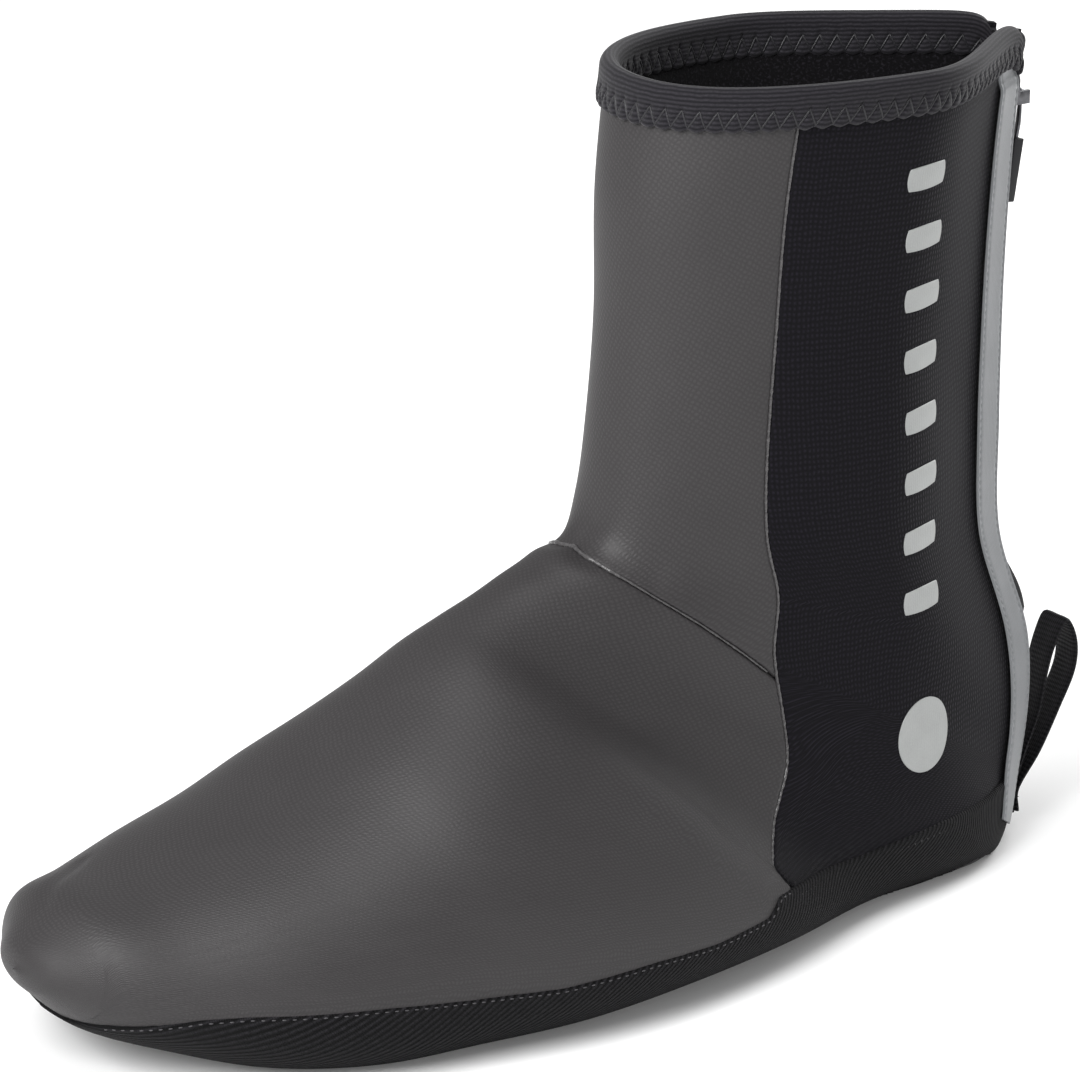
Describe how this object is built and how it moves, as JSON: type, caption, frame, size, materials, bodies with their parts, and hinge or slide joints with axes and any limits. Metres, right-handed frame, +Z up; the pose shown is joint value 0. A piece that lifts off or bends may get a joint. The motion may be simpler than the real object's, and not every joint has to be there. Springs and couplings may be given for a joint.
{
  "type": "cycling overshoe",
  "caption": "Neoprene cycling overshoe for the left foot with a rear zip, a swinging pull tab, a bound collar, a pull loop and an open sole.",
  "frame": {"origin": "on the floor, in the middle of the overshoe's outline seen from above", "axes": "+X from the toe to the heel, +Z up, -Y towards the outer side of the foot"},
  "size_m": [0.3262, 0.1188, 0.2262],
  "materials": {
    "coated_neoprene": "grey rubber-coated neoprene in front, black knit-faced neoprene behind",
    "ribbed_sole_cloth": "hard-wearing black cloth with diagonal ribs",
    "stretch_binding": "black stretch binding tape",
    "reflective_tape": "silver grey reflective tape with glass beads",
    "zip_tape": "woven black polyester zip tape",
    "nylon_coil": "black nylon zip coil",
    "dark_nickel": "die-cast zinc, plated dark nickel",
    "moulded_grip": "dark grey moulded soft plastic",
    "loop_webbing": "black ribbed webbing"
  },
  "bodies": {
    "overshoe": {"upper": "coated_neoprene", "sole": "ribbed_sole_cloth", "heel_binding": "stretch_binding", "collar_binding": "stretch_binding", "reflective_strip": "reflective_tape", "zip_tape_outer": "zip_tape", "zip_tape_inner": "zip_tape", "zip_coil": "nylon_coil", "zip_slider": "dark_nickel", "heel_loop": "loop_webbing"},
    "zip_pull": {"pull_link": "dark_nickel", "pull_tab": "moulded_grip"}
  },
  "joints": [
    {"name": "zip_pull_swing", "type": "hinge", "parent": "overshoe", "child": "zip_pull", "pos_m": [0.13958, 0.00285, 0.2035], "axis": [0, -1, 0], "range_deg": [-4, 165]}
  ]
}
